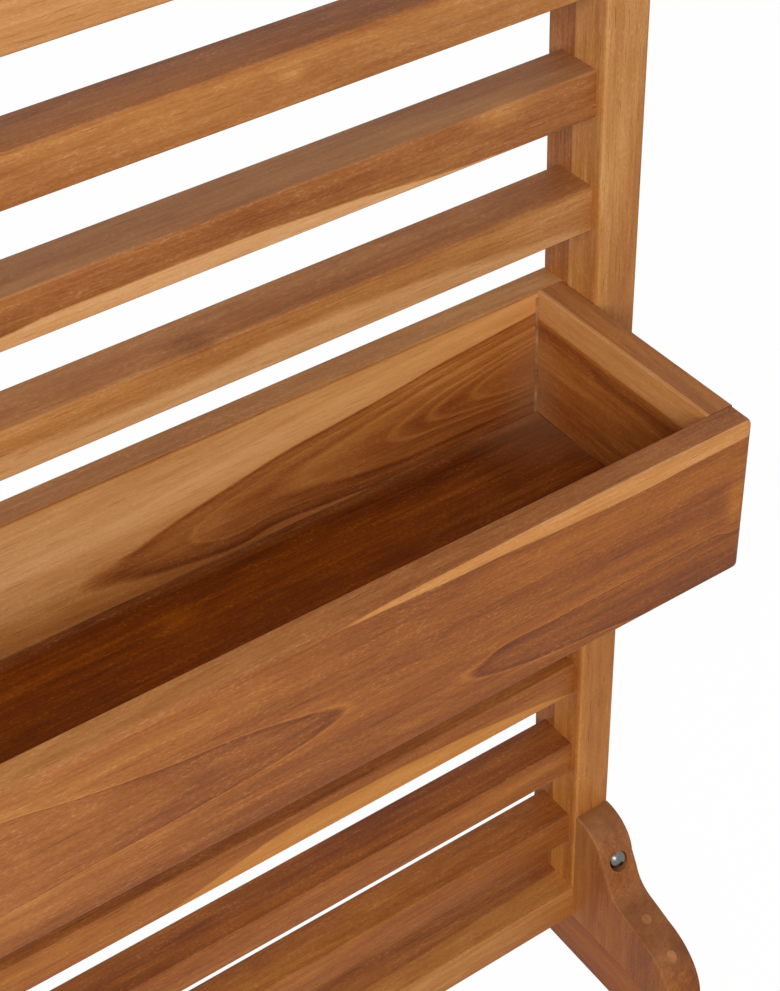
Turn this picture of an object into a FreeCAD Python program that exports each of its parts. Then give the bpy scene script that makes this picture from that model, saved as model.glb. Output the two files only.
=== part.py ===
import FreeCAD, Part
import os

# Privacy trellis with planter, oiled teak.
# All lengths are millimetres. X runs along the trellis, the front faces -Y and Z is up.
# The origin lies on the floor, in the middle of the footprint that the two feet make.

Vector = FreeCAD.Vector
along_x = Vector(1, 0, 0)
along_y = Vector(0, 1, 0)
along_z = Vector(0, 0, 1)

# Frame
overall_width = 900.0
overall_height = 1760.0
post_width = 40.0
post_depth = 70.0
post_rise = 10.0
post_arris = 3.0
rail_height = 45.0
rail_arris = 2.0

# Slats, all of one section. The upper ones are spaced evenly. Of the lower ones the first two
# stand a gap apart from the bottom rail up, the third a wider gap, and the rest share what is left.
slat_height = 40.0
slat_depth = 43.0
slat_setback = 11.0
slat_arris = 2.0
lower_gap = 65.0
wider_gap = 71.0
lower_slat_count = 5
upper_slat_count = 8

# Planter trough
rim_height = 840.0
planter_height = 145.0
planter_reach = 185.0
planter_headroom = 65.0
board_thickness = 25.0
front_corner = 7.0
front_arris = 4.0
rim_arris = 2.0
inner_arris = 1.0
floor_thickness = 14.0
floor_lift = 8.0
groove_depth = 6.0

# Feet
bar_height = 60.0
bar_front_reach = 190.0
bar_back_reach = 75.0
bar_end_radius = 15.0
bar_arris = 2.0
bracket_height = 156.4
bracket_reach = 158.0
bracket_arris = 3.0

# The bracket's front outline, as shares of its reach and of its height.
# A point with a middle point before it ends an arc through that middle point.
bracket_top_shares = (0.0, 1.0)
brow_middle_shares = (0.176, 0.944)
brow_end_shares = (0.272, 0.779)
neck_start_shares = (0.329, 0.662)
neck_middle_shares = (0.389, 0.560)
neck_end_shares = (0.502, 0.500)
toe_start_shares = (0.657, 0.447)
toe_middle_shares = (0.888, 0.315)
toe_end_shares = (1.0, 0.0)

# Tenons and their mortises
tenon_shoulder = 10.0
tenon_length = 14.0
foot_tenon_length = 30.0
tenon_clearance = 0.2
mortise_end_room = 1.0

# Foot bolt, washer and cap nut, M8 stainless
bolt_radius = 4.0
bolt_clearance = 0.3
bolt_head_radius = 10.0
bolt_head_height = 7.5
bolt_socket_radius = 3.0
bolt_socket_depth = 2.6
bolt_height_share = 0.760
bolt_seat_share = 0.262
spot_face_margin = 0.6
washer_radius = 9.0
washer_thickness = 1.6
nut_radius = 7.5
nut_height = 6.5
nut_cap_radius = 6.0
nut_cap_height = 5.5
nut_cap_rounding = 4.5
nut_clearance = 0.05

# Screws under wood plugs
screw_radius = 2.5
screw_clearance = 0.3
screw_head_radius = 4.5
screw_head_height = 3.0
screw_bite = 20.0
plug_radius = 5.0
plug_clearance = 0.05
plug_length = 8.0
foot_screw_bite = 35.0
foot_screw_reach_shares = (0.577, 0.832)
foot_screw_seat_shares = (0.30, 0.16)
planter_screw_height_shares = (0.25, 0.60)

# Dowels in the planter's corners
dowel_radius = 4.0
dowel_in_face = 15.0
dowel_in_end = 25.0
dowel_clearance = 0.1
dowel_end_room = 1.0
dowel_height_shares = (0.36, 0.80)

# One overrun serves every cut that runs out of a face
overrun = 5.0

# How near an edge has to lie to a plane, and how nearly parallel it has to be, to be picked
plane_tolerance = 0.001
angle_tolerance = 0.01
hexagon_sides = 6

# Planes worked out from the driving dimensions
inner_x = overall_width / 2 - post_width
outer_x = overall_width / 2
bar_front = -(bar_front_reach + post_depth + bar_back_reach) / 2
bar_back = -bar_front
post_front = bar_front + bar_front_reach
post_back = post_front + post_depth
slat_front = post_front + slat_setback
planter_front = post_front - planter_reach
trough_front = planter_front + board_thickness
trough_back = post_back - board_thickness
trough_x = inner_x - board_thickness

# Levels
planter_top = rim_height
planter_bottom = planter_top - planter_height
floor_bottom = planter_bottom + floor_lift
bottom_rail_top = bar_height + rail_height
post_top = overall_height
top_rail_bottom = post_top - post_rise - rail_height
upper_field_bottom = planter_top + planter_headroom
upper_pitch = (top_rail_bottom - upper_field_bottom) / upper_slat_count


def box(x_range, y_range, z_range):
    """A block between two planes on each axis."""
    size = [high - low for low, high in (x_range, y_range, z_range)]
    return Part.makeBox(*size, Vector(x_range[0], y_range[0], z_range[0]))


def runs_along(edge, axis):
    """True for an edge that is parallel to an axis."""
    start, end = edge.Vertexes[0].Point, edge.Vertexes[-1].Point
    return min((end - start).getAngle(axis), (start - end).getAngle(axis)) < angle_tolerance


def rounded(shape, radius, wanted):
    """The shape with the edges that the test picks rounded over."""
    return shape.makeFillet(radius, [edge for edge in shape.Edges if wanted(edge)])


def on_plane(edge, axis, level):
    """True for an edge that lies in a plane square to an axis."""
    return all(abs(vertex.Point.dot(axis) - level) < plane_tolerance for vertex in edge.Vertexes)


def mirrored(shape):
    """The same piece for the other end of the trellis."""
    return shape.mirror(Vector(0, 0, 0), along_x)


def both_sides(shapes):
    """One group that holds each piece and its mirror image."""
    return Part.makeCompound([side for shape in shapes for side in (shape, mirrored(shape))])


def grown(limits, amount):
    """A range widened at both ends."""
    return (limits[0] - amount, limits[1] + amount)


def shrunk(limits, amount):
    """A range narrowed at both ends."""
    return grown(limits, -amount)


# Horizontal members between the posts

def member(y_range, z_range, arris):
    """A rail or slat with a tenon at each end."""
    body = box((-inner_x, inner_x), y_range, z_range)
    body = rounded(body, arris, lambda edge: runs_along(edge, along_x))
    tenons = box(
        (-inner_x - tenon_length, inner_x + tenon_length),
        shrunk(y_range, tenon_shoulder),
        shrunk(z_range, tenon_shoulder),
    )
    return body.fuse(tenons).removeSplitter()


def mortise(y_range, z_range):
    """The pocket in the right post that takes a member's tenon."""
    return box(
        (inner_x - overrun, inner_x + tenon_length + mortise_end_room),
        grown(shrunk(y_range, tenon_shoulder), tenon_clearance),
        grown(shrunk(z_range, tenon_shoulder), tenon_clearance),
    )


def slat_depth_range():
    return (slat_front, slat_front + slat_depth)


def rail_depth_range():
    return (post_front, post_back)


def field_levels(bottom, pitch, count):
    """The height range of each slat of a field, from the lowest up."""
    bottoms = [bottom + index * pitch for index in range(count)]
    return [(level, level + slat_height) for level in bottoms]


def lower_field_levels():
    """The height range of each slat below the trough, from the lowest up."""
    levels = []
    reached = bottom_rail_top
    for gap in (lower_gap, lower_gap, wider_gap):
        levels.append((reached + gap, reached + gap + slat_height))
        reached += gap + slat_height
    left = lower_slat_count - len(levels)
    shared_gap = (planter_bottom - reached - left * slat_height) / (left + 1)
    return levels + field_levels(reached + shared_gap, shared_gap + slat_height, left)


lower_levels = lower_field_levels()
upper_levels = field_levels(upper_field_bottom, upper_pitch, upper_slat_count)
bottom_rail_levels = (bar_height, bottom_rail_top)
top_rail_levels = (top_rail_bottom, top_rail_bottom + rail_height)


# Plugged screws

def planter_screw_places():
    """Where the screws cross the right post's outer face, into the trough's end board."""
    depth = (post_front + trough_back) / 2
    return [Vector(outer_x, depth, planter_bottom + share * planter_height)
            for share in planter_screw_height_shares]


def plugged_screw(mouth, direction, shank_length):
    """A washer-head screw whose head lies one plug's length under a surface."""
    head_top = mouth + direction * plug_length
    seat = head_top + direction * screw_head_height
    head = Part.makeCylinder(screw_head_radius, screw_head_height, head_top, direction)
    shank = Part.makeCylinder(screw_radius, shank_length, seat, direction)
    return head.fuse(shank).removeSplitter()


def screw_hole(mouth, direction, shank_length):
    """The counterbore and bore for a plugged screw, open at the surface."""
    bore_depth = plug_length + screw_head_height
    counterbore = Part.makeCylinder(
        plug_radius + plug_clearance, bore_depth + overrun, mouth - direction * overrun, direction)
    bore = Part.makeCylinder(
        screw_radius + screw_clearance, bore_depth + shank_length, mouth, direction)
    return counterbore.fuse(bore)


def planter_screw_shank():
    return post_width - plug_length - screw_head_height + screw_bite


def planter_screws():
    return [plugged_screw(place, -along_x, planter_screw_shank()) for place in planter_screw_places()]


def planter_plugs():
    return [Part.makeCylinder(plug_radius, plug_length, place, -along_x)
            for place in planter_screw_places()]


def planter_screw_holes():
    return [screw_hole(place, -along_x, planter_screw_shank() + mortise_end_room)
            for place in planter_screw_places()]


# Feet

def bracket_point(shares):
    """A point of the bracket's outline in the plane of the post's inner face."""
    return Vector(inner_x, post_front - shares[0] * bracket_reach, bar_height + shares[1] * bracket_height)


def arc(start_shares, middle_shares, end_shares):
    """An arc of the bracket's outline."""
    points = [bracket_point(shares) for shares in (start_shares, middle_shares, end_shares)]
    return Part.Arc(*points).toShape()


def bracket_blank():
    """The S-curved bracket as it is sawn, as thick as the post is wide."""
    heel = Vector(inner_x, post_front, bar_height)
    edges = [
        arc(bracket_top_shares, brow_middle_shares, brow_end_shares),
        Part.makeLine(bracket_point(brow_end_shares), bracket_point(neck_start_shares)),
        arc(neck_start_shares, neck_middle_shares, neck_end_shares),
        Part.makeLine(bracket_point(neck_end_shares), bracket_point(toe_start_shares)),
        arc(toe_start_shares, toe_middle_shares, toe_end_shares),
        Part.makeLine(bracket_point(toe_end_shares), heel),
        Part.makeLine(heel, bracket_point(bracket_top_shares)),
    ]
    return Part.Face(Part.Wire(edges)).extrude(Vector(post_width, 0, 0))


def bracket_is_curved_edge(edge):
    """True for the side edges of the curved front, not those on the post or the bar."""
    along_side = on_plane(edge, along_x, inner_x) or on_plane(edge, along_x, outer_x)
    on_post = on_plane(edge, along_y, post_front)
    on_bar = on_plane(edge, along_z, bar_height)
    return along_side and not on_post and not on_bar


def bolt_centre(depth):
    """A point on the foot bolt's axis at a given depth."""
    return Vector((inner_x + outer_x) / 2, depth, bar_height + bolt_height_share * bracket_height)


def bolt_seat_depth():
    return post_front - bolt_seat_share * bracket_reach


def bolt_hole():
    """The bore for the bolt, and the spot face under its head."""
    seat = bolt_seat_depth()
    bore = Part.makeCylinder(
        bolt_radius + bolt_clearance, post_back - seat + 2 * overrun,
        bolt_centre(seat - overrun), along_y)
    spot_face = Part.makeCylinder(
        bolt_head_radius + spot_face_margin, bracket_reach, bolt_centre(seat), -along_y)
    return bore.fuse(spot_face)


def foot_screw_seats():
    """Where the undersides of the bracket's screw heads lie, above the base bar."""
    return [Vector((inner_x + outer_x) / 2,
                   post_front - reach * bracket_reach,
                   bar_height + seat * bracket_height)
            for reach, seat in zip(foot_screw_reach_shares, foot_screw_seat_shares)]


def foot_screw_shank(seat):
    return seat.z - bar_height + foot_screw_bite


def foot_screws():
    rise = along_z * (screw_head_height + plug_length)
    return [plugged_screw(seat + rise, -along_z, foot_screw_shank(seat)) for seat in foot_screw_seats()]


def foot_screw_holes():
    return [
        Part.makeCylinder(plug_radius + plug_clearance, bracket_height, seat, along_z).fuse(
            Part.makeCylinder(screw_radius + screw_clearance,
                              foot_screw_shank(seat) + mortise_end_room + overrun,
                              seat + along_z * overrun, -along_z))
        for seat in foot_screw_seats()
    ]


def foot_plugs():
    """Plugs from the screw heads up to the curved surface, and cut flush with it."""
    bracket = bracket_blank()
    head = along_z * screw_head_height
    return [bracket.common(Part.makeCylinder(plug_radius, bracket_height, seat + head, along_z))
            for seat in foot_screw_seats()]


def foot_bracket():
    """The right foot's curved bracket, bored for its bolt and its two plugged screws."""
    bracket = rounded(bracket_blank(), bracket_arris, bracket_is_curved_edge)
    return bracket.cut([bolt_hole()] + foot_screw_holes())


def foot_tenon_ranges():
    across = shrunk((inner_x, outer_x), tenon_shoulder)
    along = shrunk((post_front, post_back), tenon_shoulder)
    return across, along


def base_bar():
    """The right foot's bar on the floor, with rounded upper corners at both ends."""
    bar = box((inner_x, outer_x), (bar_front, bar_back), (0, bar_height))
    bar = rounded(bar, bar_end_radius,
                  lambda edge: runs_along(edge, along_x) and on_plane(edge, along_z, bar_height))
    bar = rounded(bar, bar_arris,
                  lambda edge: not runs_along(edge, along_x) and not on_plane(edge, along_z, 0))
    across, along = foot_tenon_ranges()
    socket = box(
        grown(across, tenon_clearance),
        grown(along, tenon_clearance),
        (bar_height - foot_tenon_length - mortise_end_room, bar_height + overrun),
    )
    return bar.cut([socket] + foot_screw_holes())


def foot_bolt():
    """A button-head bolt with a hexagon socket, long enough for its washer and cap nut."""
    seat = bolt_seat_depth()
    tip = post_back + washer_thickness + nut_height
    shank = Part.makeCylinder(bolt_radius, tip - seat, bolt_centre(seat), along_y)
    dome_radius = (bolt_head_radius ** 2 + bolt_head_height ** 2) / (2 * bolt_head_height)
    dome = Part.makeSphere(dome_radius, bolt_centre(seat - bolt_head_height + dome_radius))
    disc = Part.makeCylinder(bolt_head_radius, bolt_head_height, bolt_centre(seat), -along_y)
    socket = hexagon(bolt_socket_radius, bolt_centre(seat - bolt_head_height - overrun),
                     bolt_socket_depth + overrun)
    return disc.common(dome).cut(socket).fuse(shank).removeSplitter()


def foot_washer():
    """The washer between the post's back face and the cap nut."""
    disc = Part.makeCylinder(washer_radius, washer_thickness, bolt_centre(post_back), along_y)
    hole = Part.makeCylinder(bolt_radius + bolt_clearance, washer_thickness + 2 * overrun,
                             bolt_centre(post_back - overrun), along_y)
    return disc.cut(hole)


def hexagon(radius, start, length):
    """A hexagonal prism that runs back from its start."""
    step = 360 / hexagon_sides
    turns = [FreeCAD.Rotation(along_y, step * side) for side in range(hexagon_sides)]
    corners = [start + turn.multVec(along_x * radius) for turn in turns]
    return Part.Face(Part.makePolygon(corners + corners[:1])).extrude(along_y * length)


def foot_cap_nut():
    """The domed cap nut on the bolt's end."""
    start = post_back + washer_thickness
    body = hexagon(nut_radius, bolt_centre(start), nut_height)
    cap = Part.makeCylinder(nut_cap_radius, nut_cap_height, bolt_centre(start + nut_height), along_y)
    cap_end = start + nut_height + nut_cap_height
    cap = rounded(cap, nut_cap_rounding, lambda edge: on_plane(edge, along_y, cap_end))
    bore = Part.makeCylinder(bolt_radius + nut_clearance, nut_height + nut_clearance + overrun,
                             bolt_centre(start - overrun), along_y)
    return body.fuse(cap).cut(bore)


# Posts

def post():
    """The right post, with its mortises, its foot tenon and its fixing holes."""
    body = box((inner_x, outer_x), (post_front, post_back), (bar_height, post_top))
    body = rounded(body, post_arris,
                   lambda edge: not on_plane(edge, along_z, bar_height))
    across, along = foot_tenon_ranges()
    body = body.fuse(box(across, along, (bar_height - foot_tenon_length, bar_height)))
    pockets = [mortise(slat_depth_range(), levels) for levels in lower_levels + upper_levels]
    pockets += [mortise(rail_depth_range(), levels) for levels in (bottom_rail_levels, top_rail_levels)]
    return body.cut(pockets + planter_screw_holes() + [bolt_hole()])


# Planter trough

def corner_dowel_places():
    """The right corners' dowels: where each crosses its joint, and its way into the long board."""
    across = inner_x - board_thickness / 2
    levels = [planter_bottom + share * planter_height for share in dowel_height_shares]
    front = [(Vector(across, trough_front, level), -along_y) for level in levels]
    back = [(Vector(across, trough_back, level), along_y) for level in levels]
    return front + back


def corner_dowels():
    return [Part.makeCylinder(dowel_radius, dowel_in_face + dowel_in_end,
                              joint - way * dowel_in_end, way)
            for joint, way in corner_dowel_places()]


def corner_dowel_holes():
    return [Part.makeCylinder(dowel_radius + dowel_clearance,
                              dowel_in_face + dowel_in_end + 2 * dowel_end_room,
                              joint - way * (dowel_in_end + dowel_end_room), way)
            for joint, way in corner_dowel_places()]


def trough_floor():
    """The floor board, housed in a groove in all four walls."""
    return box(
        grown((-trough_x, trough_x), groove_depth),
        grown((trough_front, trough_back), groove_depth),
        (floor_bottom, floor_bottom + floor_thickness),
    )


def floor_groove():
    """The groove's space: the floor rests on its lower face."""
    room = groove_depth + mortise_end_room
    return box(
        grown((-trough_x, trough_x), room),
        grown((trough_front, trough_back), room),
        (floor_bottom, floor_bottom + floor_thickness + tenon_clearance),
    )


def trough_cuts():
    """Everything that is cut out of the trough's four walls."""
    holes = corner_dowel_holes() + planter_screw_holes()
    return [floor_groove()] + holes + [mirrored(hole) for hole in holes]


def is_front_board_outline(edge):
    """True for the edges round the front board's top and bottom, not those inside the trough."""
    level = on_plane(edge, along_z, planter_top) or on_plane(edge, along_z, planter_bottom)
    return level and not on_plane(edge, along_y, trough_front - inner_arris)


def front_board():
    """The wide front board, its two front corners rounded and its face softened above and below."""
    board = box((-inner_x, inner_x), (planter_front, trough_front), (planter_bottom, planter_top))
    board = rounded(board, front_corner,
                    lambda edge: on_plane(edge, along_y, planter_front) and runs_along(edge, along_z))
    board = rounded(board, inner_arris,
                    lambda edge: on_plane(edge, along_y, trough_front) and runs_along(edge, along_x))
    board = rounded(board, front_arris, is_front_board_outline)
    return board.cut(trough_cuts())


def back_board():
    """The back board, between the posts and flush with their backs."""
    board = box((-inner_x, inner_x), (trough_back, post_back), (planter_bottom, planter_top))
    board = rounded(board, rim_arris,
                    lambda edge: on_plane(edge, along_y, post_back) and runs_along(edge, along_x))
    board = rounded(board, inner_arris,
                    lambda edge: on_plane(edge, along_y, trough_back) and runs_along(edge, along_x))
    return board.cut(trough_cuts())


def end_board():
    """The right end board, between the long boards and screwed to the post."""
    board = box((trough_x, inner_x), (trough_front, trough_back), (planter_bottom, planter_top))
    board = rounded(board, rim_arris,
                    lambda edge: on_plane(edge, along_x, inner_x) and runs_along(edge, along_y))
    board = rounded(board, inner_arris,
                    lambda edge: on_plane(edge, along_x, trough_x) and runs_along(edge, along_y))
    return board.cut(trough_cuts())


def pieces():
    """Every piece of the trellis by its name."""
    made = {}
    for name, shape in (("post", post()), ("base_bar", base_bar()), ("foot_bracket", foot_bracket())):
        made["right_" + name] = shape
        made["left_" + name] = mirrored(shape)
    made["bottom_rail"] = member(rail_depth_range(), bottom_rail_levels, rail_arris)
    made["top_rail"] = member(rail_depth_range(), top_rail_levels, rail_arris)
    for field, all_levels in (("lower", lower_levels), ("upper", upper_levels)):
        for number, levels in enumerate(all_levels, start=1):
            made[f"{field}_slat_{number}"] = member(slat_depth_range(), levels, slat_arris)
    made["planter_front_board"] = front_board()
    made["planter_back_board"] = back_board()
    made["planter_right_end_board"] = end_board()
    made["planter_left_end_board"] = mirrored(end_board())
    made["planter_floor_board"] = trough_floor()
    made["planter_corner_dowels"] = both_sides(corner_dowels())
    made["planter_fixing_screws"] = both_sides(planter_screws())
    made["planter_fixing_plugs"] = both_sides(planter_plugs())
    made["foot_bolts"] = both_sides([foot_bolt()])
    made["foot_bolt_washers"] = both_sides([foot_washer()])
    made["foot_cap_nuts"] = both_sides([foot_cap_nut()])
    made["foot_bracket_screws"] = both_sides(foot_screws())
    made["foot_bracket_plugs"] = both_sides(foot_plugs())
    return made


os.makedirs("parts", exist_ok=True)
for node, solid in pieces().items():
    solid.exportStep(f"parts/{node}.step")
    print(node, len(solid.Solids), "solids, valid", solid.isValid(), "volume", round(solid.Volume))
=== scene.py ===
"""Privacy trellis with planter: oiled teak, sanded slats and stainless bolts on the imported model."""
import math
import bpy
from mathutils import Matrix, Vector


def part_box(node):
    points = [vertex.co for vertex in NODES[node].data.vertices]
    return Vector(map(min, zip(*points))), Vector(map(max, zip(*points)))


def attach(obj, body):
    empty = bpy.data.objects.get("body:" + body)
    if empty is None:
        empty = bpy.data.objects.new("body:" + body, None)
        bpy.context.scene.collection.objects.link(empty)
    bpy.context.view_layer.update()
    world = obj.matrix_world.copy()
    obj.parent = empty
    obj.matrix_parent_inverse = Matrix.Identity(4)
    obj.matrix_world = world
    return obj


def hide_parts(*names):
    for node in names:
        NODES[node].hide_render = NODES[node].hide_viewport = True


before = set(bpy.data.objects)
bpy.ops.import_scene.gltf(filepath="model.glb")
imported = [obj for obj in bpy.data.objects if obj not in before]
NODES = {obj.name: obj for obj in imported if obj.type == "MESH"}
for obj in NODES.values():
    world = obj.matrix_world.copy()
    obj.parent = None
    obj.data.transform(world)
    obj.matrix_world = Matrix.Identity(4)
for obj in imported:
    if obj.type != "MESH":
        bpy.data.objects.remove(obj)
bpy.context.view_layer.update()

from types import SimpleNamespace

import bpy
from bpy.props import FloatProperty, FloatVectorProperty, PointerProperty
from mathutils import Matrix, Vector

bl_info = {
    "name": "Privacy trellis with planter",
    "version": (1, 0, 0),
    "blender": (4, 5, 0),
    "location": "View3D > Sidebar > Trellis",
    "description": "Oiled teak boards, slats, glue lines, bolts and the studio for a planter trellis",
    "category": "Object",
}

UPPER_SLATS = sorted(name for name in NODES if name.startswith("upper_slat_"))
LOWER_SLATS = sorted(name for name in NODES if name.startswith("lower_slat_"))
POST_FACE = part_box("right_post")[0].x
SLAT_LOW, SLAT_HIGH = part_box("upper_slat_1")
MM = 0.001
ORIGIN = (0.0, 0.0, 0.0)
WHITE = (1.0, 1.0, 1.0, 1.0)
SOCKETS = {float: "Float", tuple: "Vector", type(None): "Material"}


def linear(hex_colour):
    """The linear colour, with alpha, of an sRGB hex value."""
    parts = [int(hex_colour[i:i + 2], 16) / 255 for i in (1, 3, 5)]
    return tuple(p / 12.92 if p <= 0.04045 else ((p + 0.055) / 1.055) ** 2.4 for p in parts) + (1.0,)


def feed(node, *ordered, **named):
    """Gives a node's inputs their values, in order or by name. A value is a number, a colour, a socket to
    link, or a node, whose first output in use is linked."""
    pairs = list(zip([socket for socket in node.inputs if socket.enabled], ordered))
    pairs += [(node.inputs[word.replace("_", " ")], value) for word, value in named.items()]
    for socket, value in pairs:
        if isinstance(value, bpy.types.Node):
            value = next(output for output in value.outputs if output.enabled)
        if isinstance(value, bpy.types.NodeSocket):
            node.id_data.links.new(value, socket)
        else:
            socket.default_value = value


def add(tree, kind, *ordered, **named):
    """Adds one node. A word after its kind is its operation. Named words in small letters are settings, and
    all else goes to its inputs."""
    kind, _, operation = kind.partition(" ")
    family = "ShaderNode" if hasattr(bpy.types, "ShaderNode" + kind) else "GeometryNode"
    made = tree.nodes.new(family + kind)
    if operation:
        made.operation = operation
    settings = {word: value for word, value in named.items() if word.islower()}
    for word, value in settings.items():
        setattr(made, word, value)
    feed(made, *ordered, **{word: value for word, value in named.items() if word not in settings})
    return made


def new_group(name, kind, inputs, outputs):
    """A node group. An input's default gives its type, and none at all stands for a material."""
    tree = bpy.data.node_groups.new(name, kind)
    for word, default in inputs.items():
        socket = "Color" if default == WHITE else SOCKETS[type(default)]
        made = tree.interface.new_socket(
            word.replace("_", " "), in_out="INPUT", socket_type="NodeSocket" + socket)
        if default is not None:
            made.default_value = default
    for word, socket in outputs.items():
        tree.interface.new_socket(word, in_out="OUTPUT", socket_type="NodeSocket" + socket)
    sockets = tree.nodes.new("NodeGroupInput").outputs
    given = SimpleNamespace(**{word.lower(): socket for word, socket in zip(inputs, sockets)})
    return tree, given, tree.nodes.new("NodeGroupOutput")


def new_material(name):
    """A material with its node tree and its surface shader."""
    material = bpy.data.materials.new(name)
    material.use_nodes = True
    return material, material.node_tree, material.node_tree.nodes["Principled BSDF"]


def set_stops(node, stops):
    """Gives a colour ramp its stops, from the first place to the last."""
    elements = node.color_ramp.elements
    for index, (place, colour) in enumerate(stops):
        last = index == len(stops) - 1
        stop = elements[0] if index == 0 else elements[-1] if last else elements.new(place)
        stop.position = place
        stop.color = colour


# Sizes and colours that a user would change


def length(name, description, default):
    """A length that the user can change, in metres."""
    return FloatProperty(name=name, description=description, default=default, unit="LENGTH")


def share(name, description, default):
    """A share from 0 to 1 that the user can change."""
    return FloatProperty(
        name=name, description=description, default=default, subtype="FACTOR", min=0.0, max=1.0)


def colour(name, description, shade):
    """A colour that the user can change, from its sRGB hex value."""
    return FloatVectorProperty(
        name=name, description=description, default=linear(shade), size=4, subtype="COLOR",
        min=0.0, max=1.0)


class TrellisTeak(bpy.types.PropertyGroup):
    """The oiled teak of every board."""

    fibre_length: length("Fibre length", "Length of the short pale strokes that open fibres leave", 0.0036)
    fibre_width: length("Fibre width", "Width of a stroke, coarser than life so that it shows", 0.0012)
    ring_spacing: length("Ring spacing", "Usual distance between two growth rings", 0.0062)
    arris_wear: share("Arris wear", "How much paler the sanded arrises are", 0.10)
    sheen: share("Sheen", "Roughness of the rubbed oil", 0.52)
    heart_darkest: colour("Darkest heartwood", "Bottom of the dark streaks", "#421A00")
    heart_dark: colour("Dark heartwood", "Late wood of a ring", "#763D13")
    heart: colour("Heartwood", "Usual colour of the oiled boards", "#985A28")
    heart_light: colour("Light heartwood", "Early wood of a ring", "#B1753A")
    heart_palest: colour("Palest heartwood", "Top of the pale streaks", "#CF9A5E")
    sap_dark: colour("Dark sapwood", "Dark streaks in the sapwood", "#8E5A28")
    sap: colour("Sapwood", "Usual colour of the sapwood", "#BF8043")
    sap_pale: colour("Pale sapwood", "Palest sapwood", "#DFAC77")
    fibre: colour("Open fibres", "The strokes that sanded fibres leave in the oil", "#E4B8A0")


class TrellisSlats(bpy.types.PropertyGroup):
    """The slats between the posts."""

    length: length("Length", "Between the posts", 2 * POST_FACE)
    height: length("Height", "Height of a slat", SLAT_HIGH.z - SLAT_LOW.z)
    depth: length("Depth", "Front to back", SLAT_HIGH.y - SLAT_LOW.y)
    arris: length("Arris", "Radius of the sanded long edges", 0.002)
    tenon: length("Tenon length", "How far a tenon goes into its post", SLAT_HIGH.x - POST_FACE)
    shoulder: length("Tenon shoulder", "How far the tenon is cut back all round", 0.010)
    sanding: length("Sanding", "How far hand sanding leaves the faces off flat", 0.00015)


class TrellisGlue(bpy.types.PropertyGroup):
    """The glue lines in the trough."""

    width: length("Width", "Width of the wiped glue; the bead round the floor has half of it", 0.0040)
    colour: colour("Glue", "Colour of the dried glue", "#B58254")


class TrellisHardware(bpy.types.PropertyGroup):
    """The bolts, nuts, washers and screws."""

    # both steel colours are far darker than bright stainless: painted reflection of dark surroundings in
    # the domed heads
    steel: colour("Stainless steel", "Colour of the turned steel", "#626160")
    steel_bright: colour("Bright steel", "The steel's brighter turning marks", "#7C7B78")


class TrellisStudio(bpy.types.PropertyGroup):
    """Floor, lamps and camera."""

    floor: length("Floor", "Side of the floor", 16.0)
    key: FloatProperty(name="Key light", description="Power of the softbox", default=75.0, unit="POWER")
    key_size: length("Key size", "Side of the softbox", 1.8)
    room: FloatProperty(name="Room light", description="Strength of the light from all round", default=0.5)
    lens: FloatProperty(name="Lens", description="Focal length", default=72.588, unit="CAMERA")
    paint: colour("Floor paint", "Colour of the pale floor", "#E4E2DF")


# Oiled teak. Lengths in what follows are in mm.

CURVE_REACH = 200.0     # what a curve value of 1 stands for
KNOT_LIFT = 2.2         # how far a knot pushes the growth out, for each mm of its size
EDGE_STRAY = 2.4        # how far the sapwood's ragged edge strays
SKIN_SOFT = 8           # depth over which a skin ends
THIN_SKIN = 3.0         # a skin under this depth stops short of the top arris
FILM_SHARE = 0.25       # of glue film over the wood, at its thickest
FILM_FLAT = 0.4         # the film's width over its height

# How a board's own axes lie in the frame: along the grain, across the face, into the face.
LAID = {
    "across": ((1, 0, 0), (0, 0, -1), (0, 1, 0)),
    "forward": ((0, -1, 0), (0, 0, -1), (1, 0, 0)),
    "upright": ((0, 0, 1), (1, 0, 0), (0, 1, 0)),
}
RUN = {"across": 500.0, "forward": 500.0, "upright": 1800.0}

# The wood's patterns: length along the grain and width across it
SWAY = (210, 26)
LAYER = (240, 1.7, 45)  # streaks that keep to the growth layers: along, outwards, round
STREAK = (160, 2.4)
MOTTLE = (45, 7)
BROAD = (330, 34)
PORE = (30, 0.9)        # wider than life, so that pores show
RAGGED = (60, 5)

# How much each pattern changes the tone
WEIGHTS = {"layer": 0.22, "streak": 0.24, "mottle": 0.28, "broad": 0.56, "fibre": 0.28}
PORE_TONE = -0.10
# A growth ring's tones: pale at its start, then dark wood that fades
RING = ((0.0, 0.62), (0.72, 0.42), (0.90, 0.20), (0.955, 0.10), (0.97, 0.90), (1.0, 0.66))
FIBRE_SHARE = 0.15      # of the pale fibre's colour in its stroke
PORE_SHARE = 0.34       # of the dark oil in a pore

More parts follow.
